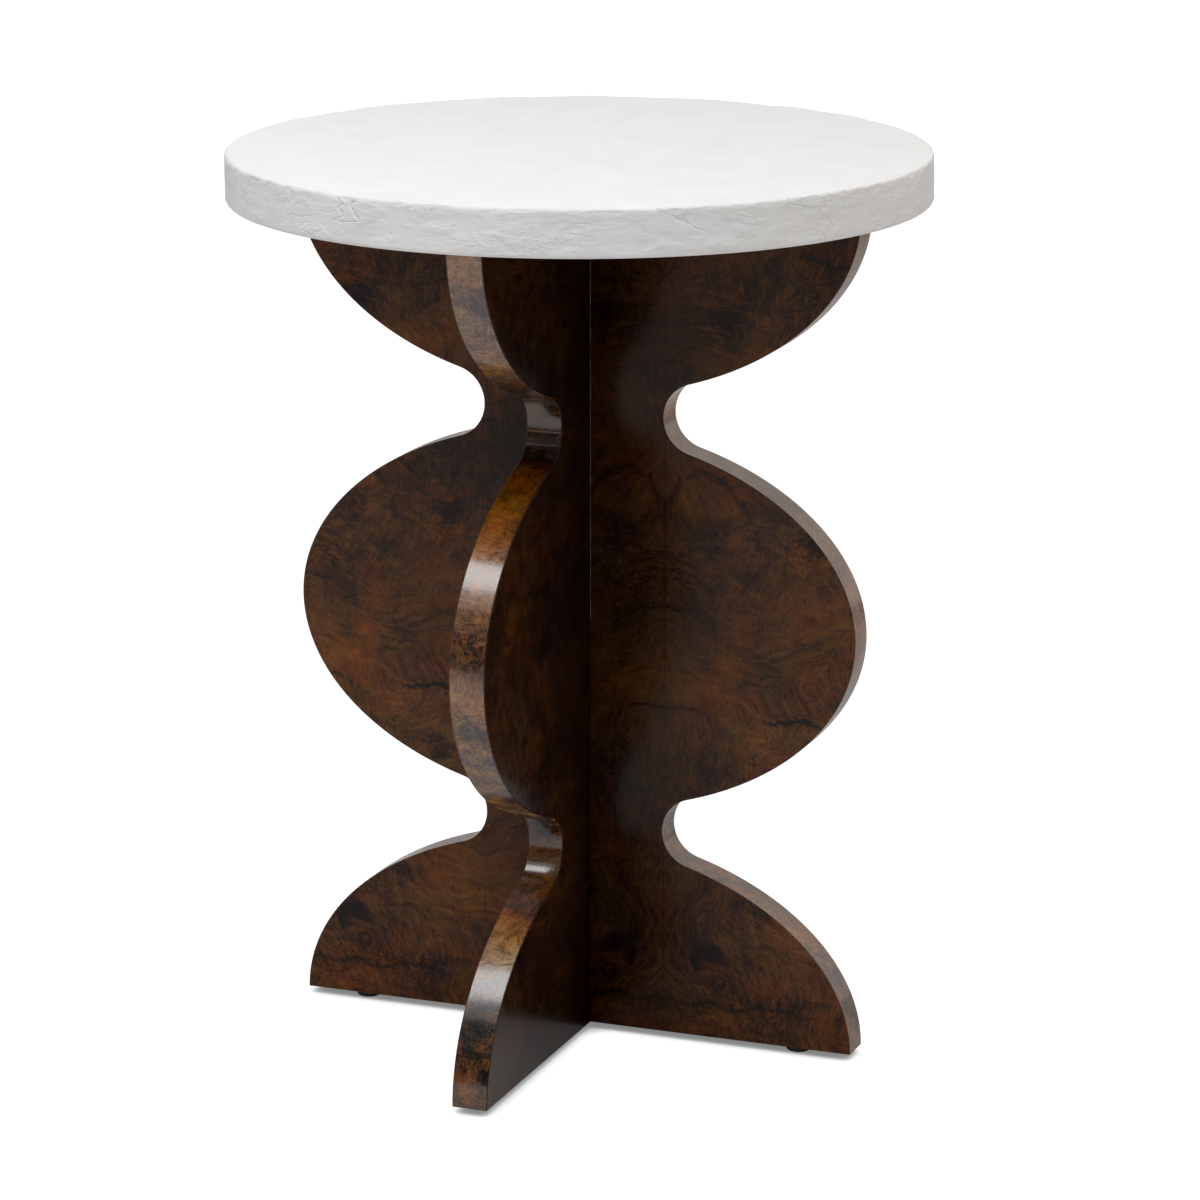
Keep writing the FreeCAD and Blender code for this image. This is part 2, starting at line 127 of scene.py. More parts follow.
def relief(tree, surface, height, strength, distance):
    """The height, in so many metres, as the surface's light feels it."""
    sockets = {"Height": height, "Strength": strength, "Distance": distance}
    tree.links.new(add(tree, "Bump", sockets).outputs["Normal"], surface.inputs["Normal"])


def new_effect(name, inputs, outputs):
    """A shader node group with named number, vector or colour sockets."""
    group = bpy.data.node_groups.new(name, "ShaderNodeTree")
    for label, kind in inputs:
        group.interface.new_socket(label, in_out="INPUT", socket_type="NodeSocket" + kind)
    for label, kind in outputs:
        group.interface.new_socket(label, in_out="OUTPUT", socket_type="NodeSocket" + kind)
    return group, group.nodes.new("NodeGroupInput").outputs, group.nodes.new("NodeGroupOutput").inputs


def effect(tree, group, **sockets):
    """The effect placed in a material, with its own values."""
    made = tree.nodes.new("ShaderNodeGroup")
    made.node_tree = group
    for label, source in sockets.items():
        if isinstance(source, bpy.types.NodeSocket):
            tree.links.new(source, made.inputs[label])
        else:
            made.inputs[label].default_value = source
    return made.outputs


# Pressed wood fibre, cut across: short hairs, darker specks and dust rubbed into the pores
pressed_fibre, given, result = new_effect(
    "pressed_fibre", [("Place", "Vector")], [("Shade", "Float"), ("Height", "Float")])
hairs = cloud(pressed_fibre, stretched(pressed_fibre, given["Place"], 1.0, 1.0, 6.0), 420.0, 5.0, 0.65)
specks = fade(pressed_fibre, cloud(pressed_fibre, given["Place"], 900.0, 2.0), 0.62, 0.7)
patches = cloud(pressed_fibre, given["Place"], 18.0, 3.0)
fibre_shade = 0.0
for part, weight in ((hairs, 0.7), (patches, 0.3), (specks, -0.25)):
    fibre_shade = plus(pressed_fibre, fibre_shade, part, weight)
pressed_fibre.links.new(fibre_shade, result["Shade"])
pressed_fibre.links.new(hairs, result["Height"])

fibreboard, tree, surface = new_finish("raw_fibreboard")
fibre = effect(tree, pressed_fibre, Place=object_place(tree))
fibre_colour = ramp(tree, fibre["Shade"], (0.25, (0.11, 0.062, 0.034)), (0.5, (0.22, 0.135, 0.078)),
                    (0.72, (0.33, 0.22, 0.135)))
tree.links.new(fibre_colour, surface.inputs["Base Color"])
surface.inputs["Roughness"].default_value = 0.82
relief(tree, surface, fibre["Height"], 0.35, 0.0006)


def finish_node(node, finish):
    """Give a CAD node that stays in view its finish."""
    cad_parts[node].data.materials.clear()
    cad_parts[node].data.materials.append(finish)


for core in ("wide_panel_core", "deep_panel_core"):
    finish_node(core, fibreboard)


# Face veneers
# Sheets of dark walnut burl, book-matched from one flitch, pressed on both faces of each panel.
# Their arrises are eased by hand before the whole panel is lacquered.

def each_of(piece, kind, test):
    """Select the vertices, edges or faces that pass the test, and nothing else."""
    bpy.ops.mesh.select_mode(type={"verts": "VERT", "edges": "EDGE", "faces": "FACE"}[kind])
    bpy.ops.mesh.select_all(action="DESELECT")
    mesh = bmesh.from_edit_mesh(piece.data)
    for item in getattr(mesh, kind):
        item.select_set(test(item))
    mesh.select_flush_mode()
    bmesh.update_edit_mesh(piece.data)


def start_piece(name):
    """Name the primitive just added, put its place into its mesh and open it for editing."""
    piece = bpy.context.object
    piece.name = piece.data.name = name
    bpy.ops.object.transform_apply(location=True, rotation=True, scale=True)
    bpy.ops.object.mode_set(mode="EDIT")
    bpy.ops.mesh.select_mode(type="VERT")
    bpy.ops.mesh.select_all(action="SELECT")
    return piece


def extrude_by(*step):
    """Extrude what is selected, so far along each axis."""
    bpy.ops.mesh.extrude_region_move(TRANSFORM_OT_translate={"value": step})


def turned(piece, angle):
    """The finished piece turned about the table's upright axis, with the turn in its mesh."""
    bpy.ops.object.mode_set(mode="OBJECT")
    piece.rotation_euler.z = angle
    bpy.ops.object.transform_apply(location=False, rotation=True, scale=False)
    return piece


def applied(piece, kind, **settings):
    """A modifier of that kind, applied at once."""
    modifier = piece.modifiers.new(kind.lower(), kind)
    for name, choice in settings.items():
        setattr(modifier, name, choice)
    bpy.ops.object.modifier_apply(modifier=modifier.name)


def dressed(piece, finish, slot, *nodes):
    """The piece's finish, the CAD nodes it stands for, and its ride on the table."""
    piece.data.materials.clear()
    piece.data.materials.append(finish)
    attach(piece, "root")
    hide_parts(*nodes)
    bpy.ops.object.select_all(action="DESELECT")


sheet_low, sheet_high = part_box("wide_panel_front_veneer")
foot_level, panel_top = sheet_low.z, sheet_high.z
lobe_reach = sheet_high.x
glue_face, show_face = -sheet_high.y, -sheet_low.y
quarter_height = (panel_top - foot_level) / 4
waist_reach, waist_curve = 0.0694, 0.0266
slot_clearance = 0.00015
slot_wall = show_face + slot_clearance
slot_end = foot_level + 2 * quarter_height
steps_round_lobe, steps_round_waist = 48, 18
eased_arris = 0.0006

# Points nearer than this are one point, and a flat face smaller than this belongs to the arris
touching, least_flat = 1e-5, 1e-5


def lobe_that_meets(tip, waist, curve, spacing):
    """Half height of a lobe whose edge runs smoothly into the waist, and both arcs' turns."""
    flat, steep = 0.0, math.pi / 2
    for _ in range(60):
        slope = (flat + steep) / 2
        leave = math.acos((waist + curve - curve * math.cos(slope)) / tip)
        half_height = (spacing - curve * math.sin(slope)) / math.sin(leave)
        if tip * math.sin(leave) * math.cos(slope) > half_height * math.cos(leave) * math.sin(slope):
            flat = slope
        else:
            steep = slope
    return half_height, leave, slope


lobe_half_height, lobe_turn, waist_turn = lobe_that_meets(
    lobe_reach, waist_reach, waist_curve, quarter_height)


def spin_outline(piece):
    """Carry the end at the foot's tip round lobe and waist, then mirror and copy it to the top."""
    bpy.ops.mesh.spin(steps=steps_round_lobe, angle=lobe_turn, center=(0, 0, foot_level), axis=(0, 1, 0))
    bpy.ops.mesh.select_all(action="SELECT")
    flattened = (1, 1, lobe_half_height / lobe_reach)
    bpy.ops.transform.resize(value=flattened, center_override=(0, 0, foot_level))
    highest = max(vertex.co.z for vertex in bmesh.from_edit_mesh(piece.data).verts)
    each_of(piece, "verts", lambda vertex: vertex.co.z > highest - touching)
    waist_middle = (waist_reach + waist_curve, 0, foot_level + quarter_height)
    bpy.ops.mesh.spin(steps=steps_round_waist, angle=waist_turn, center=waist_middle, axis=(0, -1, 0))
    for move in (
        lambda: bpy.ops.transform.resize(value=(1, 1, -1), center_override=waist_middle),
        lambda: bpy.ops.transform.translate(value=(0, 0, 2 * quarter_height)),
    ):
        bpy.ops.mesh.select_all(action="SELECT")
        bpy.ops.mesh.duplicate()
        move()
        bpy.ops.mesh.select_all(action="SELECT")
        bpy.ops.mesh.remove_doubles(threshold=touching)


def draw_line(piece, start, *corners):
    """Draw the outline on from one of its ends through corners given across and up."""
    place = Vector((start[0], -glue_face, start[1]))
    each_of(piece, "verts", lambda vertex: (vertex.co - place).length < 2 * touching)
    for corner in corners:
        step = Vector((corner[0], -glue_face, corner[1])) - place
        extrude_by(*step)
        place += step


def face_sheet(name, slot_from_top):
    """One sheet of face veneer, with the notch for the other panel."""
    bpy.ops.mesh.primitive_plane_add(size=0.001, location=(lobe_reach, -glue_face, foot_level))
    piece = start_piece(name)
    bpy.ops.mesh.merge(type="CENTER")
    spin_outline(piece)
    notch = [(slot_wall, panel_top), (slot_wall, slot_end), (0, slot_end)]
    across = [(0, foot_level)]
    if not slot_from_top:
        notch = [(0, panel_top)]
        across = [(slot_wall, foot_level), (slot_wall, slot_end), (0, slot_end)]
    draw_line(piece, (lobe_reach, panel_top), *notch)
    draw_line(piece, (lobe_reach, foot_level), *across)
    bpy.ops.mesh.select_all(action="SELECT")
    bpy.ops.mesh.duplicate()
    bpy.ops.transform.resize(value=(-1, 1, 1), center_override=(0, 0, 0))
    bpy.ops.mesh.select_all(action="SELECT")
    bpy.ops.mesh.remove_doubles(threshold=touching)
    bpy.ops.mesh.edge_face_add()
    extrude_by(0, glue_face - show_face, 0)
    bpy.ops.mesh.select_all(action="SELECT")
    bpy.ops.mesh.normals_make_consistent(inside=False)

    def shown_arris(edge):
        ends = [vertex.co for vertex in edge.verts]
        outside = all(end.y < -show_face + touching for end in ends)
        at_top = all(end.z > panel_top - touching for end in ends)
        in_slot = all(abs(end.x) < slot_wall + touching for end in ends)
        return outside and not at_top and not in_slot

    def flat_part(face):
        squared = max(abs(part) for part in face.normal) > 0.99999
        large = len(face.verts) > 4 or face.calc_area() > least_flat
        return squared and (abs(face.normal.y) > 0.5 or large)

    each_of(piece, "edges", shown_arris)
    bpy.ops.mesh.bevel(offset=eased_arris, segments=3, affect="EDGES", clamp_overlap=True)
    bpy.ops.mesh.select_all(action="SELECT")
    bpy.ops.mesh.faces_shade_smooth()
    each_of(piece, "faces", flat_part)
    bpy.ops.mesh.faces_shade_flat()
    return piece


# Burl figure: swirled clouds of brown over drifting grain, dark eyes with rings round them,
# curls, pips and a few dark cracks, mirrored from leaf to leaf at the seams
burl_figure, given, result = new_effect(
    "burl_figure",
    [("Across", "Float"), ("Up", "Float"), ("Sheet", "Float"), ("Seam", "Float"), ("Leaf", "Float"),
     ("Rise", "Float"), ("Eyes", "Float"), ("Cracks", "Float"), ("Curls", "Float"), ("Depth", "Float")],
    [("Shade", "Float"), ("Red", "Float"), ("Height", "Float"), ("Joint", "Float")])
flitch = burl_figure
from_seam = maths(flitch, "SUBTRACT", given["Across"], given["Seam"])
in_leaf = maths(flitch, "PINGPONG", from_seam, given["Leaf"])
flat_place = add(flitch, "CombineXYZ", {"X": in_leaf, "Y": given["Up"], "Z": given["Sheet"]}).outputs[0]


def stirred(vector, scale, amount):
    """The place pushed about by a coloured cloud, to swirl what follows."""
    push = cloud(flitch, vector, scale, 2.0, 0.5, "Color")
    push = add(flitch, "VectorMath", {0: push, 1: (0.5, 0.5, 0.5)}, operation="SUBTRACT").outputs[0]
    push = add(flitch, "VectorMath", {0: push, "Scale": amount}, operation="SCALE").outputs[0]
    return add(flitch, "VectorMath", {0: vector, 1: push}, operation="ADD").outputs[0]


def product(*values):
    """All the values multiplied together."""
    total = values[0]
    for value in values[1:]:
        total = maths(flitch, "MULTIPLY", total, value)
    return total


slow_swirl = stirred(flat_place, 7.0, 0.09)
quick_swirl = stirred(slow_swirl, 24.0, 0.028)
tight_swirl = stirred(quick_swirl, 80.0, 0.009)
clouds = cloud(flitch, quick_swirl, 13.0, 5.0, 0.6)
mottle = cloud(flitch, tight_swirl, 85.0, 4.0, 0.65)
upright_grain = cloud(flitch, stretched(flitch, quick_swirl, 330.0, 46.0, 1.0), 1.0, 4.0, 0.6)
level_grain = cloud(flitch, stretched(flitch, quick_swirl, 40.0, 360.0, 1.0), 1.0, 4.0, 0.6)
grain_turn = fade(flitch, cloud(flitch, flat_place, 11.0, 2.0), 0.46, 0.56)
grain_turn = add(flitch, "Mix", {0: grain_turn, 2: upright_grain, 3: level_grain}).outputs[0]
pores = cloud(flitch, stretched(flitch, tight_swirl, 900.0, 200.0, 1.0), 1.0, 2.0, 0.5)

# Curls: tight light and dark threads, gathered where the burl is at its densest
curl_course = cloud(flitch, stirred(tight_swirl, 260.0, 0.0045), 330.0, 2.0, 0.5)
curl = maths(flitch, "ABSOLUTE", maths(flitch, "SUBTRACT", curl_course, 0.5))
curl = fade(flitch, curl, 0.10, 0.0)
curl_places = fade(flitch, cloud(flitch, slow_swirl, 15.0, 3.0), 0.46, 0.6)
curls = product(curl, curl_places, given["Curls"])

# Eyes: some at random, and one above another beside each seam, as the flitch gave them
eye_cells = add(flitch, "TexVoronoi", {"Vector": slow_swirl, "Scale": 15.0, "Randomness": 1.0})
eye_choice = add(flitch, "SeparateColor", {"Color": eye_cells.outputs["Color"]}).outputs[0]
has_eye = product(fade(flitch, eye_choice, 0.7, 0.75), given["Eyes"])
eye_ripple = maths(flitch, "ADD", eye_cells.outputs["Distance"], product(mottle, 0.16))
eye_waves = maths(flitch, "SINE", product(eye_ripple, 62.0))
rings = product(eye_waves, fade(flitch, eye_ripple, 0.62, 0.16), has_eye)
pupils = product(fade(flitch, eye_ripple, 0.3, 0.1), has_eye)

feature_place = stirred(flat_place, 34.0, 0.016)
feature_parts = add(flitch, "SeparateXYZ", {"Vector": feature_place}).outputs
feature_across = feature_parts["X"]
feature_up = maths(flitch, "SUBTRACT", feature_parts["Y"], given["Rise"])


def eye_at(across, up, reach, tall, arch):
    """A dark eye, the broken rings round it and the dark arch over it, so far from seam and floor."""
    aside = product(maths(flitch, "SUBTRACT", feature_across, across), 1.0 / reach)
    above = product(maths(flitch, "SUBTRACT", feature_up, up), 1.0 / (reach * tall))
    away = maths(flitch, "SQRT", maths(flitch, "ADD", product(aside, aside), product(above, above)))
    away = maths(flitch, "ADD", away, product(maths(flitch, "SUBTRACT", mottle, 0.5), 1.6))
    waves = maths(flitch, "SINE", product(away, 11.0))
    ripple = product(waves, fade(flitch, away, 2.8, 0.8), broken, given["Eyes"])
    over = fade(flitch, maths(flitch, "ABSOLUTE", maths(flitch, "SUBTRACT", away, 2.15)), 0.22, 0.03)
    over = product(over, fade(flitch, above, 0.2, 1.3), given["Eyes"], arch)
    return product(fade(flitch, away, 1.5, 0.3), given["Eyes"]), ripple, over


def streak_at(up, start, end, width, sway, bend, strength):
    """A dark line across the grain between two distances from the seam, bowed by bend."""
    bow = maths(flitch, "SUBTRACT", feature_across, (start + end) / 2)
    bow = product(bow, bow, bend)
    drift = cloud(flitch, stretched(flitch, flat_place, 34.0, 3.0, 1.0), 1.0, 4.0)
    drift = maths(flitch, "SUBTRACT", drift, 0.5)
    course = maths(flitch, "ADD", maths(flitch, "ADD", product(drift, sway), bow), up)
    off = maths(flitch, "ABSOLUTE", maths(flitch, "SUBTRACT", feature_up, course))
    ends = product(fade(flitch, in_leaf, start, start + 0.02), fade(flitch, in_leaf, end, end - 0.02))
    line = plus(flitch, fade(flitch, off, width, width * 0.15), fade(flitch, off, 5 * width, 0.0), 0.3)
    return product(line, ends, given["Cracks"], strength)


broken = fade(flitch, cloud(flitch, flat_place, 60.0, 2.0), 0.42, 0.58)
cracks = 0.0
for across, up, reach, tall, arch in (
    (0.036, 0.066, 0.0130, 1.0, 0.2),
    (0.031, 0.391, 0.0155, 1.15, 0.8),
    (0.108, 0.205, 0.0100, 0.9, 0.0),
    (0.118, 0.388, 0.0120, 0.8, 0.0),
    (0.050, 0.545, 0.0140, 1.0, 0.3),
):
    dark, ripple, over = eye_at(across, up, reach, tall, arch)
    pupils = maths(flitch, "ADD", pupils, dark)
    rings = maths(flitch, "ADD", rings, ripple)
    cracks = maths(flitch, "MAXIMUM", cracks, over)
for up, start, end, width, sway, bend, strength in (
    (0.253, -0.03, 0.040, 0.0018, 0.016, -4.0, 0.8),
    (0.251, 0.066, 0.130, 0.0020, 0.026, 0.0, 1.0),
    (0.031, -0.01, 0.126, 0.0028, 0.020, 0.0, 0.5),
    (0.470, 0.045, 0.155, 0.0012, 0.018, 0.0, 0.5),
    (0.456, 0.060, 0.155, 0.0010, 0.014, 0.0, 0.4),
    (0.318, 0.015, 0.060, 0.0014, 0.024, 0.0, 0.4),
    (0.590, 0.090, 0.155, 0.0018, 0.020, 0.0, 0.6),
):
    cracks = maths(flitch, "MAXIMUM", cracks, streak_at(up, start, end, width, sway, bend, strength))

pip_cells = add(flitch, "TexVoronoi", {"Vector": tight_swirl, "Scale": 190.0, "Randomness": 1.0})
pip_places = fade(flitch, cloud(flitch, slow_swirl, 9.0, 3.0), 0.5, 0.62)
pips = product(fade(flitch, pip_cells.outputs["Distance"], 0.36, 0.12), pip_places)

crack_course = cloud(flitch, stretched(flitch, slow_swirl, 4.5, 11.0, 1.0), 1.0, 4.0, 0.55)
crack_offset = maths(flitch, "ABSOLUTE", maths(flitch, "SUBTRACT", crack_course, 0.5))
crack_places = fade(flitch, cloud(flitch, flat_place, 8.0, 2.0), 0.55, 0.62)
fine_cracks = product(fade(flitch, crack_offset, 0.009, 0.002), crack_places, given["Cracks"])

# Painted shade: this amount darkens the whole figure; only the deep panel's right face, turned away from
# the lights, is given any
shade = maths(flitch, "SUBTRACT", 0.5, given["Depth"])
for part, weight in ((clouds, 0.85), (mottle, 0.55), (grain_turn, 0.5), (pores, 0.4)):
    shade = plus(flitch, shade, maths(flitch, "SUBTRACT", part, 0.5), weight)
for part, weight in (
    (rings, 0.06), (curls, 0.17), (curl_places, -0.07),
    (pupils, -0.22), (pips, -0.12), (fine_cracks, -0.16), (cracks, -0.26),
):
    shade = plus(flitch, shade, part, weight)
flitch.links.new(shade, result["Shade"])
flitch.links.new(fade(flitch, cloud(flitch, quick_swirl, 19.0, 3.0), 0.42, 0.62), result["Red"])
flitch.links.new(plus(flitch, pores, mottle, 0.5), result["Height"])
seam_offset = maths(flitch, "MINIMUM", in_leaf, maths(flitch, "SUBTRACT", given["Leaf"], in_leaf))
flitch.links.new(fade(flitch, seam_offset, 0.0005, 0.0001), result["Joint"])

# Sprayed lacquer: a slow unevenness of the film and a finer orange peel
lacquer_film, given, result = new_effect("lacquer_film", [("Place", "Vector")], [("Height", "Float")])
slow_film = cloud(lacquer_film, given["Place"], 22.0, 1.0)
film_peel = cloud(lacquer_film, given["Place"], 260.0, 1.0)
lacquer_film.links.new(plus(lacquer_film, slow_film, film_peel, 0.035), result["Height"])

burl_browns = (
    (0.05, (0.0050, 0.0040, 0.0042)),
    (0.25, (0.0170, 0.0100, 0.0080)),
    (0.40, (0.0480, 0.0195, 0.0080)),
    (0.54, (0.1020, 0.0380, 0.0100)),
    (0.70, (0.1550, 0.0590, 0.0130)),
    (0.90, (0.2400, 0.1000, 0.0220)),
)
painted_shade_brown = (0.006, 0.002, 0.0008)
joint_brown = (0.004, 0.003, 0.002)
leaf_width = 0.142

# How far the painted corner shade reaches from the corner: on the left or front wing, on the other one
painted_shade_reaches = (0.085, 0.16)


def lacquered(tree, surface, figure, colour, gloss, roughness):
    """Joints, redder, greener and greyer patches and a satin lacquer over the veneer's colour."""
    grey_to_red = ramp(tree, figure["Red"], (0.0, (0.94, 0.98, 1.20)), (1.0, (1.06, 0.92, 0.82)))
    reddened = tinted(tree, 1.0, colour, grey_to_red, "MULTIPLY")
    hues = cloud(tree, object_place(tree), 38.0, 4.0, 0.65, "Color")
    varied = tinted(tree, 0.45, reddened, hues, "SOFT_LIGHT")
    jointed = tinted(tree, maths(tree, "MULTIPLY", figure["Joint"], 0.45), varied, joint_brown)
    tree.links.new(jointed, surface.inputs["Base Color"])
    tree.links.new(fade(tree, figure["Height"], 0.6, 0.9, *roughness), surface.inputs["Roughness"])
    surface.inputs["IOR"].default_value = 1.5
    surface.inputs["Specular IOR Level"].default_value = gloss
    film = effect(tree, lacquer_film, Place=object_place(tree))
    relief(tree, surface, film["Height"], 0.25, 0.0012)


def face_burl(name, axis, gloss, open_painted_shade, corner_painted_shade, **figure_values):
    """Burl that follows a panel's face, with painted shade darkening it into the inner corners."""
    finish, tree, surface = new_finish(name)
    place = add(tree, "SeparateXYZ", {"Vector": object_place(tree)}).outputs
    figure = effect(tree, burl_figure, Across=place[axis], Up=place["Z"], Seam=leaf_width / 2,
                    Leaf=leaf_width, Eyes=1.0, Cracks=1.0, **figure_values)
    from_corner = maths(tree, "ABSOLUTE", place[axis])
    painted_shade_reach = fade(tree, place[axis], -0.03, 0.03, *painted_shade_reaches)
    # Painted shade: the wood is darkened towards the inner corner, where the panels shade each other
    painted_shade_share = fade(tree, from_corner, painted_shade_reach, slot_wall, open_painted_shade, corner_painted_shade)
    colour = tinted(tree, painted_shade_share, ramp(tree, figure["Shade"], *burl_browns), painted_shade_brown)
    lacquered(tree, surface, figure, colour, gloss, (0.16, 0.24))
    return finish


# Each lacquer's gloss, and how much painted shade darkens its wood in the open and in the corner
common_lacquer = (0.2, 0.0, 0.74)
lacquer_with_painted_side_shade = (0.3, 0.55, 0.86)
face_sheets = (
    ("wide_panel_front_veneer", 0.0, True, "X", common_lacquer,
     dict(Sheet=3.7, Rise=0.0, Curls=1.0, Depth=0.0)),
    ("wide_panel_back_veneer", math.pi, True, "X", common_lacquer,
     dict(Sheet=8.2, Rise=0.07, Curls=1.0, Depth=0.0)),
    # Painted shade: the face turned away from the lights is darkened all over, not only in its corner
    ("deep_panel_right_veneer", math.pi / 2, False, "Y", lacquer_with_painted_side_shade,
     dict(Sheet=12.4, Rise=0.11, Curls=0.5, Depth=0.09)),
    ("deep_panel_left_veneer", -math.pi / 2, False, "Y", common_lacquer,
     dict(Sheet=15.1, Rise=-0.05, Curls=1.0, Depth=0.0)),
)
for node, angle, slot_from_top, axis, lacquer, figure_values in face_sheets:
    sheet = turned(face_sheet(node.replace("_veneer", "_burl_sheet"), slot_from_top), angle)
    dressed(sheet, face_burl(sheet.name, axis, *lacquer, **figure_values), "burl_veneer", node)


# Edge veneers
# Narrow bands of the same burl, laid round the three lobes at each end of a panel and rubbed
# down flush with the faces. The bands are pieced from several strips with butt joints.

band_half_width = glue_face
band_length, band_thickness = 0.915, 0.0007
figure_scale = 1.7
joint_grey = (0.22, 0.17, 0.13)


def edge_band(name):
    """One band, with its length and width kept in a UV map that follows it."""
    bpy.ops.mesh.primitive_plane_add(size=2 * band_half_width, rotation=(0, math.pi / 2, 0),
                                     location=(lobe_reach, 0, foot_level + band_half_width))
    piece = start_piece(name)
    each_of(piece, "verts", lambda vertex: vertex.co.z > foot_level + band_half_width)
    bpy.ops.mesh.delete(type="VERT")
    bpy.ops.mesh.select_all(action="SELECT")
    spin_outline(piece)
    bpy.ops.mesh.normals_make_consistent(inside=False)
    tip = max(bmesh.from_edit_mesh(piece.data).faces, key=lambda face: face.calc_center_median().x)
    if tip.normal.x < 0:
        bpy.ops.mesh.flip_normals()
    bpy.ops.object.mode_set(mode="OBJECT")

    outline = sorted({(round(v.co.z, 5), round(v.co.x, 5)) for v in piece.data.vertices})
    run, length, last = {}, 0.0, outline[0]
    for point in outline:
        length += math.dist(point, last)
        run[point] = length
        last = point
    layer = piece.data.uv_layers.new(name="along_band")
    for corner in piece.data.loops:
        spot = piece.data.vertices[corner.vertex_index].co
        layer.data[corner.index].uv = (run[(round(spot.z, 5), round(spot.x, 5))], spot.y)
    applied(piece, "SOLIDIFY", thickness=band_thickness, offset=-1.0, use_even_offset=True)
    bpy.ops.object.shade_smooth_by_angle(angle=math.radians(35))
    return piece


def edge_burl(name, strips, joints, sheet_number):
    """Burl that follows a band and changes from strip to strip, with a pale line at each joint."""
    finish, tree, surface = new_finish(name)
    along_band = add(tree, "UVMap", uv_map="along_band").outputs["UV"]
    place = add(tree, "SeparateXYZ", {"Vector": along_band}).outputs
    across = maths(tree, "MULTIPLY", place["Y"], figure_scale)
    up = maths(tree, "MULTIPLY", place["X"], figure_scale)
    figure = effect(tree, burl_figure, Across=across, Up=up, Sheet=sheet_number, Seam=-0.03, Leaf=1.2,
                    Rise=0.03, Eyes=0.9, Cracks=0.9, Curls=0.8, Depth=0.0)
    drift = maths(tree, "SUBTRACT", cloud(tree, object_place(tree), 60.0), 0.5)
    along = plus(tree, maths(tree, "DIVIDE", place["X"], band_length), drift, 0.03)
    greys = [(at / band_length, (light, light, light)) for at, light, tint in strips]
    tints = [(at / band_length, tint) for at, light, tint in strips]
    figured = maths(tree, "SUBTRACT", figure["Shade"], 0.42)
    colour = ramp(tree, plus(tree, ramp(tree, along, *greys), figured, 1.6), *burl_browns)
    colour = tinted(tree, 1.0, colour, ramp(tree, along, *tints), "MULTIPLY")
    for joint in joints:
        off = maths(tree, "ABSOLUTE", maths(tree, "SUBTRACT", place["X"], joint))
        colour = tinted(tree, fade(tree, off, 0.0009, 0.0003, 0.0, 0.7), colour, joint_grey)
    lacquered(tree, surface, figure, colour, 0.95, (0.12, 0.24))
    return finish


# Each strip's place along the band in metres, how light it is, and its tint
plain_strips = (
    (0.00, 0.48, (1.1, 1.2, 1.5)),
    (0.22, 0.42, (1.2, 1.3, 1.4)),
    (0.45, 0.48, (1.0, 1.3, 2.0)),
    (0.70, 0.52, (1.3, 1.3, 1.0)),
    (0.90, 0.48, (1.2, 1.4, 1.8)),
)
# Front band: partly its strips' own colours, partly painted reflection; the lighter grey-blue strips
# stand for the white floor and the overhead lights mirrored in the lacquer
front_strips_and_painted_reflections = (
    (0.06, 0.34, (1.1, 1.0, 0.9)),
    (0.10, 0.45, (1.2, 1.5, 2.0)),
    (0.13, 0.55, (1.6, 2.1, 2.8)),
    (0.165, 0.35, (0.8, 0.6, 0.5)),
    (0.23, 0.42, (0.8, 0.8, 0.3)),
    (0.28, 0.50, (1.6, 2.4, 4.0)),
    (0.40, 0.43, (1.6, 2.3, 3.8)),
    (0.48, 0.37, (1.1, 1.3, 1.6)),
    (0.54, 0.52, (1.7, 1.9, 2.6)),
    (0.60, 0.64, (1.6, 1.4, 0.5)),
    (0.64, 0.52, (1.0, 0.8, 0.2)),
    (0.66, 0.30, (0.6, 0.5, 0.4)),
    (0.76, 0.40, (0.8, 0.8, 0.8)),
    (0.81, 0.52, (1.6, 2.3, 4.5)),
)
edge_bands = (
    ("wide_panel_right_edge_veneer", 0.0, plain_strips, (0.231, 0.683), 21.3),
    ("wide_panel_left_edge_veneer", math.pi, plain_strips, (0.240, 0.672), 24.8),
    ("deep_panel_back_edge_veneer", math.pi / 2, plain_strips, (0.226, 0.690), 27.2),
    ("deep_panel_front_edge_veneer", -math.pi / 2, front_strips_and_painted_reflections, (0.683, 0.898), 30.9),
)
for node, angle, strips, joints, sheet_number in edge_bands:
    band = turned(edge_band(node.replace("_veneer", "_burl_band")), angle)
    dressed(band, edge_burl(band.name, strips, joints, sheet_number), "burl_edge_veneer", node)


# Glue line in the corners
# Where the deep panel passes through the wide panel's slot, a hairline of glue has squeezed out
# and dried in each upright corner, paler than the wood round it.

glue, tree, surface = new_finish("dried_glue")
glue_shade = cloud(tree, object_place(tree), 90.0, 3.0)
glue_colour = ramp(tree, glue_shade, (0.38, (0.02, 0.015, 0.012)), (0.60, (0.12, 0.10, 0.085)))
tree.links.new(glue_colour, surface.inputs["Base Color"])
surface.inputs["Roughness"].default_value = 0.4

bead_radius, bead_rings = 0.0003, 62
bpy.ops.mesh.primitive_circle_add(vertices=8, radius=bead_radius, fill_type="NGON",
                                  location=(show_face, -show_face, slot_end))
bead = start_piece("corner_glue_line")
previous = 1.0
for ring in range(bead_rings):
    extrude_by(0, 0, (panel_top - slot_end) / bead_rings)
    swell = 1.0 + 0.25 * noise.noise(Vector((0, 0, ring * 0.37)))
    bpy.ops.transform.resize(value=(swell / previous, swell / previous, 1),
                             center_override=(show_face, -show_face, 0))
    previous = swell
bpy.ops.mesh.select_all(action="SELECT")
bpy.ops.mesh.normals_make_consistent(inside=False)
bpy.ops.mesh.faces_shade_smooth()
for corner in range(3):
    bpy.ops.mesh.duplicate()
    bpy.ops.transform.rotate(value=math.pi / 2, orient_axis="Z", center_override=(0, 0, 0))
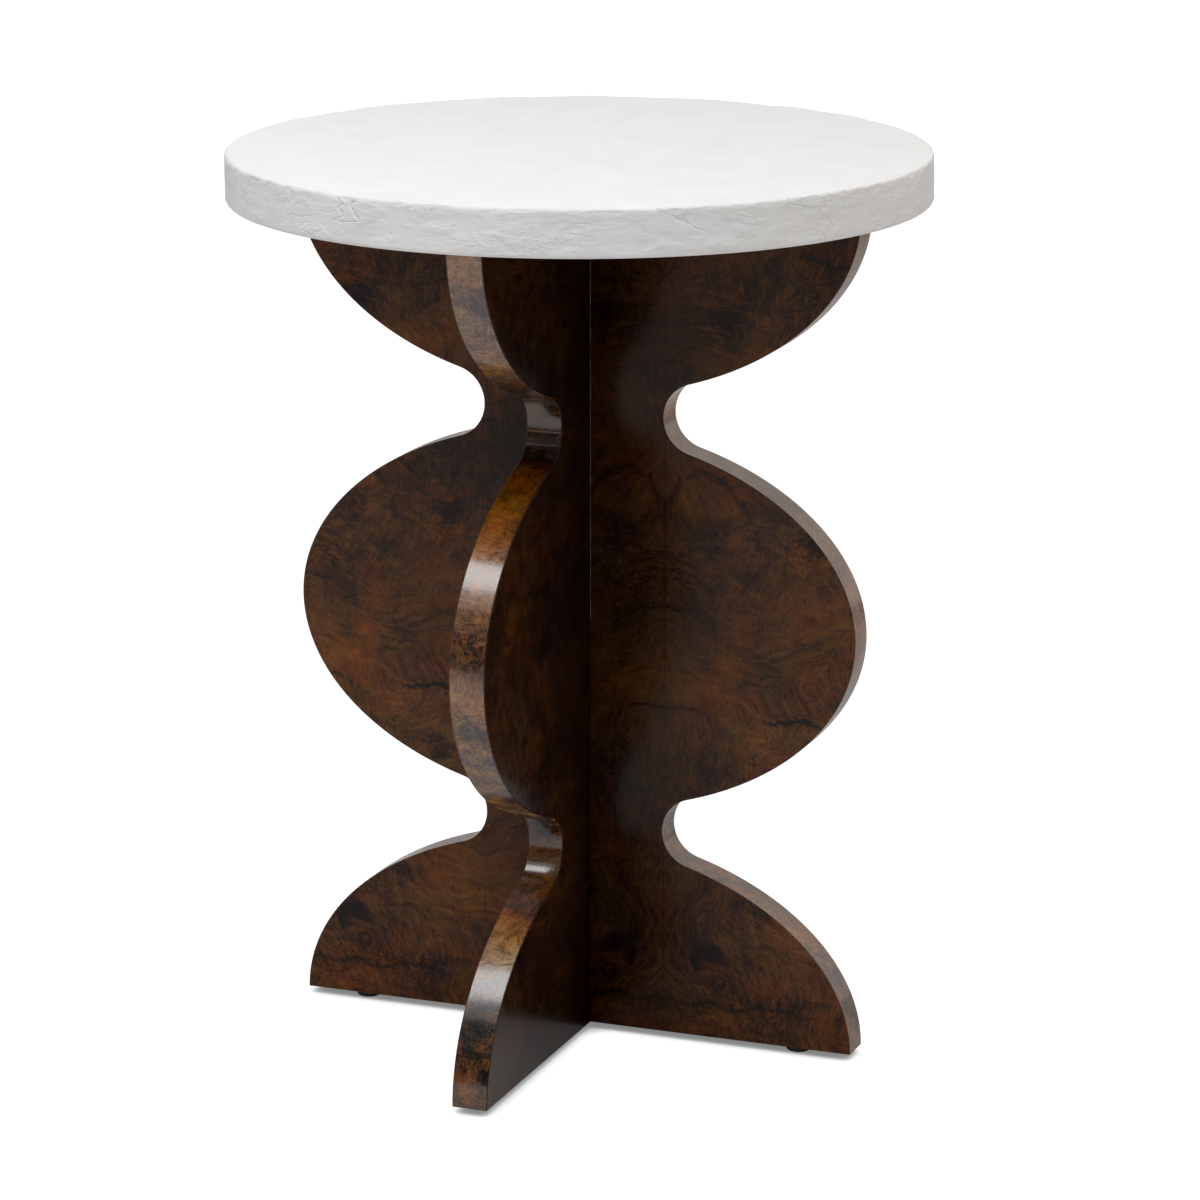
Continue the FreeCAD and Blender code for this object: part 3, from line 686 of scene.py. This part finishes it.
bpy.ops.object.mode_set(mode="OBJECT")
dressed(bead, glue, "burl_veneer")


# Glides and their nails
# A moulded nylon disc under each foot, counterbored so that the flat head of its nail stays
# clear of the floor.

glide_low, glide_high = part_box("glide_right")
glide_middle = (glide_low + glide_high) / 2
glide_radius = (glide_high.x - glide_low.x) / 2
counterbore_radius, counterbore_depth, shank_hole_radius = 0.0036, 0.0022, 0.00115
lower_round, upper_round = 0.0015, 0.0004

nylon, tree, surface = new_finish("moulded_nylon")
scuffs = cloud(tree, object_place(tree), 700.0, 4.0, 0.6)
tree.links.new(ramp(tree, scuffs, (0.3, (0.012, 0.011, 0.010)), (0.7, (0.05, 0.046, 0.042))),
               surface.inputs["Base Color"])
surface.inputs["Roughness"].default_value = 0.45
relief(tree, surface, scuffs, 0.2, 0.0003)


def glide(name):
    """One disc, open through the middle for its nail, with rounded rims."""
    bpy.ops.mesh.primitive_cylinder_add(vertices=64, radius=glide_radius, depth=glide_high.z,
                                        location=(glide_middle.x, 0, glide_high.z / 2))
    piece = start_piece(name)
    each_of(piece, "faces", lambda face: face.normal.z < -0.9)
    bpy.ops.mesh.inset(thickness=glide_radius - counterbore_radius)
    extrude_by(0, 0, counterbore_depth)
    bpy.ops.mesh.inset(thickness=counterbore_radius - shank_hole_radius)
    extrude_by(0, 0, glide_high.z - counterbore_depth)
    bpy.ops.mesh.delete(type="FACE")
    each_of(piece, "faces", lambda face: len(face.verts) > 30 and face.normal.z > 0.9)
    bpy.ops.mesh.inset(thickness=glide_radius - shank_hole_radius)
    bpy.ops.mesh.delete(type="FACE")
    bpy.ops.mesh.select_mode(type="VERT")
    bpy.ops.mesh.select_all(action="SELECT")
    bpy.ops.mesh.remove_doubles(threshold=2 * touching)
    bpy.ops.mesh.normals_make_consistent(inside=False)
    for level, rounding, segments in ((0.0, lower_round, 5), (glide_high.z, upper_round, 2)):

        def outer_rim(edge):
            reaches = [math.hypot(v.co.x - glide_middle.x, v.co.y) for v in edge.verts]
            outermost = all(abs(reach - glide_radius) < touching for reach in reaches)
            return outermost and all(abs(v.co.z - level) < touching for v in edge.verts)

        each_of(piece, "edges", outer_rim)
        bpy.ops.mesh.bevel(offset=rounding, segments=segments, affect="EDGES")
    bpy.ops.object.mode_set(mode="OBJECT")
    bpy.ops.object.shade_smooth_by_angle(angle=math.radians(35))
    return piece


for quarter, wing in enumerate(("right", "back", "left", "front")):
    disc = turned(glide(f"glide_disc_{wing}"), quarter * math.pi / 2)
    dressed(disc, nylon, "glide_nylon", f"glide_{wing}")


# Boards of the top
# Two round fibreboards glued face to face. The lower one is brushed with dark brown primer
# underneath, where it can be seen from below, and the upper one is buried in the plaster.

primer, tree, surface = new_finish("brushed_primer")
fibre = effect(tree, pressed_fibre, Place=object_place(tree))
brushed = cloud(tree, stretched(tree, object_place(tree), 14.0, 190.0, 14.0), 1.0, 4.0, 0.6)
primer_shade = plus(tree, maths(tree, "MULTIPLY", brushed, 0.6), fibre["Shade"], 0.4)
tree.links.new(ramp(tree, primer_shade, (0.3, (0.022, 0.018, 0.015)), (0.62, (0.060, 0.050, 0.042))),
               surface.inputs["Base Color"])
surface.inputs["Roughness"].default_value = 0.7
relief(tree, surface, brushed, 0.3, 0.0004)

finish_node("top_lower_board", primer)
finish_node("top_upper_board", fibreboard)


# Brackets, screws and nails
# Zinc-plated angle brackets pull the top down onto the four wings, each held by two pan-head
# screws into the top and two into the panel. Bright nails hold the glides.

def plated(name, dark, light, roughness):
    """Zinc plating: cloudy, with short scratches and a little dulled spangle."""
    finish, tree, surface = new_finish(name)
    place = object_place(tree)
    spangle = add(tree, "TexVoronoi", {"Vector": place, "Scale": 320.0}).outputs["Color"]
    spangle = add(tree, "SeparateColor", {"Color": spangle}).outputs[0]
    scratches = cloud(tree, stretched(tree, place, 60.0, 60.0, 2400.0), 1.0, 3.0)
    shade = plus(tree, maths(tree, "MULTIPLY", spangle, 0.35), scratches, 0.65)
    tree.links.new(ramp(tree, shade, (0.25, dark), (0.7, light)), surface.inputs["Base Color"])
    surface.inputs["Metallic"].default_value = 1.0
    dulling = fade(tree, cloud(tree, place, 140.0, 4.0), 0.35, 0.7, roughness, roughness + 0.18)
    tree.links.new(dulling, surface.inputs["Roughness"])
    relief(tree, surface, scratches, 0.15, 0.0002)
    return finish


bracket_zinc = plated("bracket_zinc", (0.42, 0.42, 0.43), (0.66, 0.67, 0.68), 0.3)
screw_zinc = plated("screw_zinc", (0.45, 0.44, 0.42), (0.72, 0.71, 0.68), 0.25)
nail_bright = plated("nail_bright", (0.40, 0.40, 0.41), (0.62, 0.62, 0.63), 0.3)
for wing in ("right", "back", "left", "front"):
    finish_node(f"bracket_{wing}", bracket_zinc)
finish_node("screws_into_top", screw_zinc)
finish_node("screws_into_panels", screw_zinc)
finish_node("glide_nails", nail_bright)


# Plaster coat
# A thick skin of white plaster trowelled over the boards by hand: nearly smooth on top, rippled
# and creased round the rim where each pass of the trowel overlapped the last.

coat_low, coat_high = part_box("plaster_coat")
coat_radius = coat_high.x
coat_depth = coat_high.z - coat_low.z
board_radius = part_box("top_upper_board")[1].x
board_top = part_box("top_upper_board")[1].z
coat_sides, rim_rows = 1100, 26
arris_round, foot_round, shoulder = 0.0038, 0.0022, 0.026

bpy.ops.mesh.primitive_cylinder_add(vertices=coat_sides, radius=coat_radius, depth=coat_depth,
                                    location=(0, 0, (coat_low.z + coat_high.z) / 2))
coat = start_piece("plaster_skin")


def rim_edge(level):
    """A test for the edges that lie at a level."""
    return lambda edge: all(abs(vertex.co.z - level) < touching for vertex in edge.verts)


each_of(coat, "edges", rim_edge(coat_high.z))
bpy.ops.mesh.bevel(offset=arris_round, segments=8, profile=0.55, affect="EDGES")
each_of(coat, "edges", rim_edge(coat_low.z))
bpy.ops.mesh.bevel(offset=foot_round, segments=4, affect="EDGES")
each_of(coat, "edges", lambda edge: abs(edge.verts[0].co.z - edge.verts[1].co.z) > 0.5 * coat_depth)
bpy.ops.mesh.subdivide(number_cuts=rim_rows - 1)

each_of(coat, "faces", lambda face: len(face.verts) > 100 and face.normal.z < -0.9)
bpy.ops.mesh.inset(thickness=coat_radius - foot_round - board_radius)
extrude_by(0, 0, board_top - coat_low.z)

each_of(coat, "faces", lambda face: len(face.verts) > 100 and face.normal.z > 0.9)
finest_step, step_growth, last_ring, middle_hub = 0.0022, 0.085, 0.012, 0.004
top_reach = coat_radius - arris_round
while top_reach > last_ring:
    step = min(finest_step + step_growth * (coat_radius - top_reach), top_reach - middle_hub)
    bpy.ops.mesh.inset(thickness=step)
    top_reach -= step
bpy.ops.mesh.select_all(action="SELECT")
bpy.ops.mesh.faces_shade_smooth()
bpy.ops.object.mode_set(mode="OBJECT")


def ledges(place, count):
    """Cloud noise cut into levels with steep edges, like coats of plaster laid one over another."""
    height = 0.5 + 0.5 * noise.fractal(place, 1.0, 2.0, 4)
    level, rest = divmod(max(height, 0.0) * count, 1.0)
    return (level + min(rest / 0.12, 1.0)) / count


# Depths of the marks, in metres
swell_depth, ripple_depth, overlap_depth = 0.00035, 0.00025, 0.0009
nick_depth, foot_wear, shoulder_drop = 0.0013, 0.0005, 0.0011


def share(value):
    """The value kept between nothing and the whole."""
    return min(max(value, 0.0), 1.0)


def worn_in(spot, reach):
    """How far a point of the skin lies inside the true shape, in metres."""
    down = (coat_high.z - spot.z) / coat_depth
    drawn = Vector((spot.x, spot.y, spot.z * 2.4))
    slow = 0.5 + 0.5 * noise.noise(drawn * 13.0)
    middle = 0.5 + 0.5 * noise.fractal(drawn * 45.0 + Vector((7, 1, 3)), 1.0, 2.0, 3)
    rim = share((reach - (coat_radius - arris_round)) / arris_round)
    laid = 1.0 - ledges(drawn * 21.0 + Vector((2, 9, 4)), 4)
    busy = share((noise.noise(drawn * 8.0 + Vector((1, 4, 2))) + 0.30) / 0.4)
    on_rim = swell_depth * slow + ripple_depth * middle + overlap_depth * laid * busy
    arris = max(0.0, 1.0 - abs(down - 0.08) / 0.10)
    nicks = noise.fractal(drawn * 85.0 + Vector((3, 3, 9)), 1.0, 2.0, 3)
    on_rim += arris * nick_depth * max(0.0, nicks - 0.05)
    foot = max(0.0, 1.0 - (1.0 - down) / 0.12)
    on_rim += foot * foot_wear * max(0.0, 0.3 + noise.noise(drawn * 60.0))
    return 0.00010 * slow + 0.00004 * middle + rim * on_rim


def sunk(spot, reach):
    """How far the shoulder of the top falls away towards the rim, unevenly, in metres."""
    near = max(0.0, (reach - (coat_radius - shoulder)) / shoulder)
    wave = 0.8 + 0.7 * noise.noise(spot * 30.0) + 0.5 * noise.noise(spot * 95.0 + Vector((5, 2, 8)))
    above = max(0.0, 1.0 - 2.0 * (coat_high.z - spot.z) / coat_depth)
    return shoulder_drop * near * near * wave * above


skin = []
for vertex in coat.data.vertices:
    reach = math.hypot(vertex.co.x, vertex.co.y)
    if reach > board_radius + 1e-4 or vertex.co.z > board_top + 1e-4:
        skin.append((vertex, reach, worn_in(vertex.co, reach)))
proudest = min(inward for vertex, reach, inward in skin if reach > coat_radius - 1e-4)
for vertex, reach, inward in skin:
    outward_part = share((reach - (coat_radius - arris_round)) / arris_round)
    upward_part = 1.0 - outward_part if vertex.co.z > (coat_low.z + coat_high.z) / 2 else 0.0
    shrink = 1.0 - max(inward - proudest, 0.0) * outward_part / max(reach, 1e-6)
    drop = inward * upward_part + sunk(vertex.co, reach)
    vertex.co = Vector((vertex.co.x * shrink, vertex.co.y * shrink, vertex.co.z - drop))

plaster, tree, surface = new_finish("trowelled_plaster")
place = object_place(tree)
chalk = cloud(tree, place, 30.0, 5.0, 0.6)
grit = cloud(tree, place, 900.0, 3.0, 0.6)
tree.links.new(ramp(tree, chalk, (0.3, (0.80, 0.789, 0.777)), (0.65, (0.835, 0.827, 0.817))),
               surface.inputs["Base Color"])
surface.inputs["Roughness"].default_value = 0.62
surface.inputs["Specular IOR Level"].default_value = 0.3


def passes(scale, count, lay):
    """Overlapping trowel passes: level patches, each ending in a thin steep edge."""
    course = cloud(tree, stretched(tree, place, 1.0, 1.0, lay), scale, 3.0, 0.5)
    course = maths(tree, "MULTIPLY", course, count)
    level = maths(tree, "FLOOR", course)
    rise = fade(tree, maths(tree, "FRACT", course), 0.0, 0.14)
    return maths(tree, "DIVIDE", maths(tree, "ADD", level, rise), count)


def furrows(scale, lay, width):
    """Thin grooves where the trowel's edge was lifted and the skin didn't close."""
    course = cloud(tree, stretched(tree, place, 1.0, 1.0, lay), scale, 2.5, 0.45)
    return fade(tree, maths(tree, "ABSOLUTE", maths(tree, "SUBTRACT", course, 0.5)), width, 0.0)


def layer(under, relief_part, amount, *masks):
    """The relief so far, with one more kind of mark laid into it where the masks allow."""
    for mask in masks:
        relief_part = maths(tree, "MULTIPLY", relief_part, mask)
    return plus(tree, under, relief_part, amount)


drag = cloud(tree, stretched(tree, place, 1.0, 1.0, 2.2), 130.0, 5.0, 0.65)
worked = fade(tree, cloud(tree, stretched(tree, place, 1.0, 1.0, 1.6), 24.0, 2.0), 0.44, 0.60)
open_places = fade(tree, cloud(tree, place, 12.0, 2.0), 0.46, 0.58)
pit_cells = add(tree, "TexVoronoi", {"Vector": place, "Scale": 210.0, "Randomness": 1.0})
pit_choice = add(tree, "SeparateColor", {"Color": pit_cells.outputs["Color"]}).outputs[0]
pits = fade(tree, pit_cells.outputs["Distance"], 0.34, 0.16)
pits = maths(tree, "MULTIPLY", pits, fade(tree, pit_choice, 0.6, 0.62))
height = layer(0.0, passes(30.0, 9.0, 2.6), 1.5)
height = layer(height, passes(85.0, 7.0, 2.2), 0.8, worked)
height = layer(height, drag, 0.5, worked)
height = layer(height, furrows(15.0, 3.0, 0.018), -0.55, open_places)
height = layer(height, furrows(38.0, 2.0, 0.034), -0.3, worked)
height = layer(height, pits, -0.3, worked)
height = layer(height, grit, 0.02)
facing = add(tree, "SeparateXYZ", {"Vector": add(tree, "NewGeometry").outputs["Normal"]}).outputs["Z"]
roughened = fade(tree, facing, 0.97, 0.5, 0.03, 1.0)
relief(tree, surface, maths(tree, "MULTIPLY", height, roughened), 0.7, 0.0014)
dressed(coat, plaster, "plaster", "plaster_coat")


# Floor, lights and camera
# A studio floor, white to the camera but for a soft painted shadow under the feet, and clear from
# below. Two soft lights hang overhead, a weaker one stands front left, and the camera is where
# the photographer stood.

bpy.ops.mesh.primitive_plane_add(size=16.0, location=(0, 0, 0))
floor = bpy.context.object
floor.name = "studio_floor"
studio_white, tree, surface = new_finish("studio_floor")
tree.nodes.remove(surface)
seen_by_camera = add(tree, "LightPath").outputs["Is Camera Ray"]
# Painted shadow: the floor's glow dims where the feet and panels hide it from the open room
open_sky = add(tree, "AmbientOcclusion", {"Distance": 0.02}).outputs["AO"]
floor_glow_with_painted_shadow = fade(tree, open_sky, 0.05, 0.85, 0.22, 1.12)
as_seen = add(tree, "Emission", {"Color": (0.985, 0.99, 1.0, 1.0), "Strength": floor_glow_with_painted_shadow})
as_lit = add(tree, "BsdfDiffuse", {"Color": (0.75, 0.75, 0.75, 1.0)})
both = add(tree, "MixShader", {0: seen_by_camera, 1: as_lit.outputs[0], 2: as_seen.outputs[0]})
from_below = add(tree, "NewGeometry").outputs["Backfacing"]
clear = add(tree, "BsdfTransparent")
one_way = add(tree, "MixShader", {0: from_below, 1: both.outputs[0], 2: clear.outputs[0]})
tree.links.new(one_way.outputs[0], tree.nodes["Material Output"].inputs["Surface"])
floor.data.materials.append(studio_white)

world = bpy.data.worlds.new("studio")
bpy.context.scene.world = world
world.use_nodes = True
tree = world.node_tree
ray = add(tree, "LightPath").outputs["Is Camera Ray"]
heading = add(tree, "SeparateXYZ", {"Vector": add(tree, "TexCoord").outputs["Generated"]}).outputs
room = fade(tree, heading["Z"], 0.1, 0.9, 0.03, 0.13)
room = maths(tree, "ADD", room, fade(tree, heading["X"], -0.6, 0.8, 0.0, 0.29))
room = maths(tree, "ADD", room, fade(tree, heading["Y"], -0.6, 0.8, 0.0, 0.58))
room = add(tree, "Mix", {0: ray, 2: room, 3: 1.15}).outputs[0]
tree.links.new(room, tree.nodes["Background"].inputs["Strength"])
tree.nodes["Background"].inputs["Color"].default_value = (1.0, 0.955, 0.915, 1.0)


def soft_light(name, place, aim, width, depth, power, colour):
    """A rectangular soft light at a place, aimed at a point."""
    light = bpy.data.lights.new(name, "AREA")
    light.shape = "RECTANGLE"
    light.size, light.size_y, light.energy, light.color = width, depth, power, colour
    holder = bpy.data.objects.new(name, light)
    bpy.context.scene.collection.objects.link(holder)
    holder.location = place
    holder.rotation_euler = (Vector(aim) - Vector(place)).to_track_quat("-Z", "Y").to_euler()
    holder.visible_camera = False


cool_white, warm_white = (0.95, 0.98, 1.01), (1.0, 0.93, 0.86)
soft_light("overhead_softbox", (-0.2, -1.12, 2.9), (-0.2, -1.12, 0.0), 2.7, 1.05, 52.5, cool_white)
soft_light("overhead_spill", (-0.2, -2.15, 2.9), (-0.2, -2.15, 0.0), 2.7, 1.0, 8.5, cool_white)
soft_light("front_left_softbox", (-2.0, -2.3, 1.5), (0, 0, 0.35), 1.3, 1.3, 6.0, warm_white)

camera_data = bpy.data.cameras.new("camera")
camera = bpy.data.objects.new("camera", camera_data)
bpy.context.scene.collection.objects.link(camera)
bpy.context.scene.camera = camera
camera_data.sensor_width = 36.0
camera_data.lens = 145.0
downward_tilt, turn_to_right = 14.4501, 21.0586
camera.location = (1.2458, -3.1947, 1.2090)
camera.rotation_euler = (math.radians(90 - downward_tilt), 0, math.radians(turn_to_right))
view = bpy.context.scene.view_settings
view.view_transform = "Standard"
view.use_curve_mapping = True
view.curve_mapping.black_level = (0.0016, 0.0016, 0.0016)
